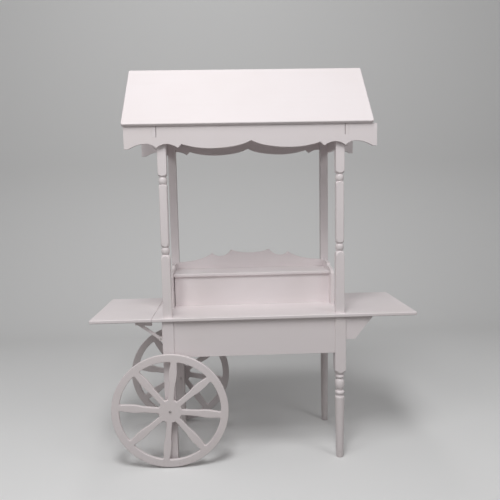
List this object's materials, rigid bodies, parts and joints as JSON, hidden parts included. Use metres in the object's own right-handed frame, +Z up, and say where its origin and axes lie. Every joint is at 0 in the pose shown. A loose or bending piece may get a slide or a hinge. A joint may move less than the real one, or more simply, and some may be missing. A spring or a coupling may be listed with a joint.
{
  "type": "candy buffet cart",
  "caption": "Painted timber buffet cart with a raised display step, scalloped valances, pitched board roof, spoked side wheels and a folding end flap.",
  "frame": {"origin": "on the floor, under the middle of the table", "axes": "+X along the table to the fixed end, +Y from the front to the back, +Z up"},
  "size_m": [1.676, 0.5968, 2.0678],
  "materials": {
    "painted_wood": "warm white satin paint, brushed",
    "painted_steel": "warm white satin paint",
    "steel": "zinc plated"
  },
  "bodies": {
    "cart": {"leg_front_left": "painted_wood", "leg_front_right": "painted_wood", "leg_rear_left": "painted_wood", "leg_rear_right": "painted_wood", "apron_front": "painted_wood", "apron_rear": "painted_wood", "apron_left": "painted_wood", "apron_right": "painted_wood", "table_top": "painted_wood", "hinge_leaf_table_front": "steel", "hinge_leaf_table_middle": "steel", "hinge_leaf_table_rear": "steel", "hinge_pin_front": "steel", "hinge_pin_middle": "steel", "hinge_pin_rear": "steel", "stay_plate_front": "painted_steel", "stay_plate_rear": "painted_steel", "stay_pin_front": "steel", "stay_pin_rear": "steel", "bracket_right_front": "painted_wood", "bracket_right_rear": "painted_wood", "post_front_left": "painted_wood", "post_front_right": "painted_wood", "post_rear_left": "painted_wood", "post_rear_right": "painted_wood", "cheek_left": "painted_wood", "cheek_right": "painted_wood", "step_front": "painted_wood", "step_shelf": "painted_wood", "back_board": "painted_wood", "valance_front": "painted_wood", "valance_rear": "painted_wood", "gable_left": "painted_wood", "gable_right": "painted_wood", "roof_panel_front": "painted_wood", "roof_panel_rear": "painted_wood", "ridge_rail": "painted_wood", "axle_bolt_front": "steel", "axle_bolt_rear": "steel", "washer_inner_front": "steel", "washer_inner_rear": "steel", "wheel_spacer_front": "painted_wood", "wheel_spacer_rear": "painted_wood", "washer_leg_front": "steel", "washer_leg_rear": "steel", "axle_nut_front": "steel", "axle_nut_rear": "steel"},
    "wheel_front": {"wheel_front": "painted_wood"},
    "wheel_rear": {"wheel_rear": "painted_wood"},
    "flap": {"table_flap": "painted_wood", "hinge_leaf_flap_front": "steel", "hinge_leaf_flap_middle": "steel", "hinge_leaf_flap_rear": "steel", "stay_rail_front": "painted_steel", "stay_rail_rear": "painted_steel"},
    "stay_front": {"stay_arm_front": "painted_steel"},
    "stay_rear": {"stay_arm_rear": "painted_steel"}
  },
  "joints": [
    {"name": "wheel_front_spin", "type": "hinge", "parent": "cart", "child": "wheel_front", "pos_m": [-0.444, -0.285, 0.306], "axis": [0, 1, 0], "continuous": true},
    {"name": "wheel_rear_spin", "type": "hinge", "parent": "cart", "child": "wheel_rear", "pos_m": [-0.444, 0.285, 0.306], "axis": [0, 1, 0], "continuous": true},
    {"name": "flap_fold", "type": "hinge", "parent": "cart", "child": "flap", "pos_m": [-0.524, 0, 0.7647], "axis": [0, -1, 0], "range_deg": [0, 90]},
    {"name": "stay_front_swing", "type": "hinge", "parent": "cart", "child": "stay_front", "pos_m": [-0.485, -0.23, 0.672], "axis": [0, -1, 0], "range_deg": [0, 126.5]},
    {"name": "stay_rear_swing", "type": "hinge", "parent": "cart", "child": "stay_rear", "pos_m": [-0.485, 0.23, 0.672], "axis": [0, -1, 0], "range_deg": [0, 126.5]}
  ],
  "couplings": [
    {"joint": "stay_front_swing", "follows": "flap_fold", "ratio": 1.405},
    {"joint": "stay_rear_swing", "follows": "flap_fold", "ratio": 1.405}
  ]
}
